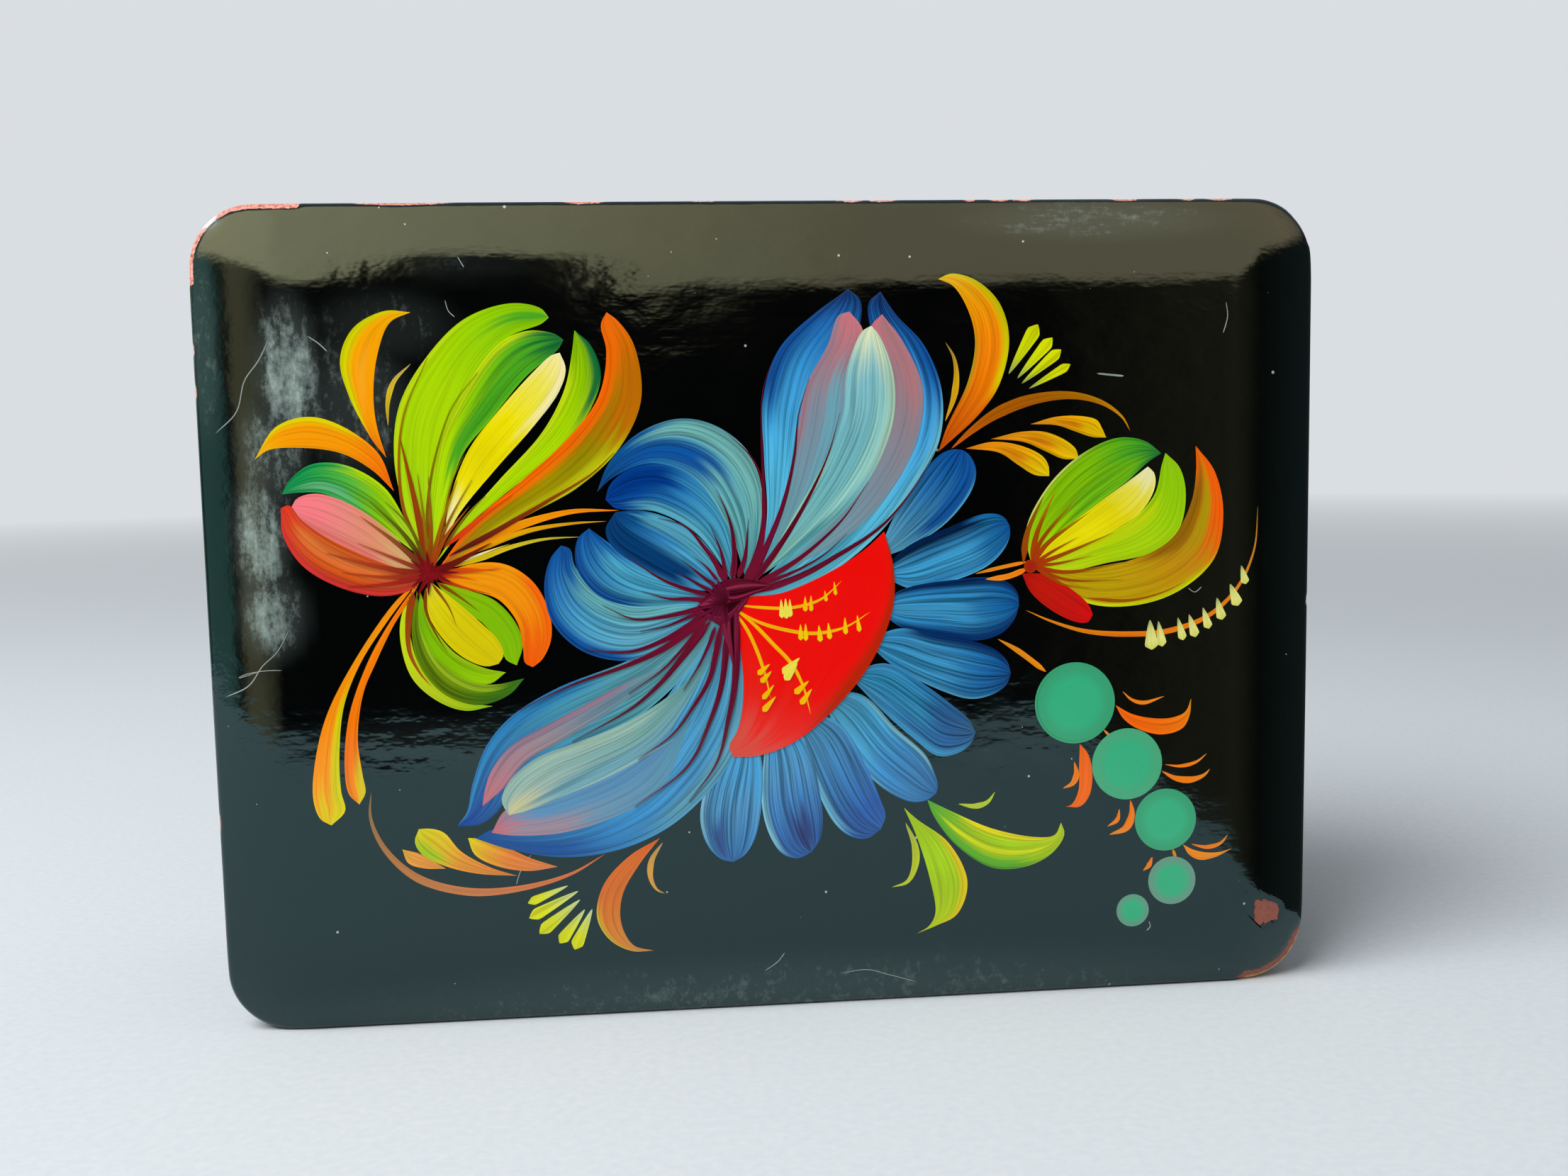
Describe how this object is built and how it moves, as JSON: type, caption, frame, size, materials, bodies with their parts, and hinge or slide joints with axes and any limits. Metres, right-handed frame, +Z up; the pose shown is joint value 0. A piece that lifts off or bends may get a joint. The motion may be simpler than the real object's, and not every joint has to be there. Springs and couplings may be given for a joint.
{
  "type": "hinged lacquer box with a flower-painted lid",
  "caption": "Black lacquered papier-mache box with a pillow-shaped hinged lid painted with a folk flower bouquet, standing on its front wall.",
  "frame": {"origin": "middle of the box's footprint, on the surface that it stands on", "axes": "+X along the width, to the viewer's right; -Y out of the painted lid face; +Z up, from the front wall that it stands on to the hinged back wall on top"},
  "size_m": [0.15, 0.05, 0.11],
  "materials": {
    "painted_lacquer": "black oil lacquer, polished, hand painted",
    "black_lacquer": "black oil lacquer, polished",
    "red_lacquer": "vermilion oil lacquer, satin",
    "brass": "worn, slightly tarnished"
  },
  "bodies": {
    "root": {"body_frame": "black_lacquer", "inner_collar": "red_lacquer", "bottom_panel": "black_lacquer", "body_hinge_nails": "brass", "hinge_body_leaf_left": "brass", "hinge_body_leaf_right": "brass", "hinge_pin_left": "brass", "hinge_pin_right": "brass"},
    "lid": {"lid_panel": "painted_lacquer", "lid_frame": "black_lacquer", "lid_hinge_nails": "brass", "hinge_lid_leaf_left": "brass", "hinge_lid_leaf_right": "brass"}
  },
  "joints": [
    {"name": "lid_hinge", "type": "hinge", "parent": "root", "child": "lid", "pos_m": [0, -0.0115, 0.1087], "axis": [-1, 0, 0], "range_deg": [0, 104]}
  ]
}
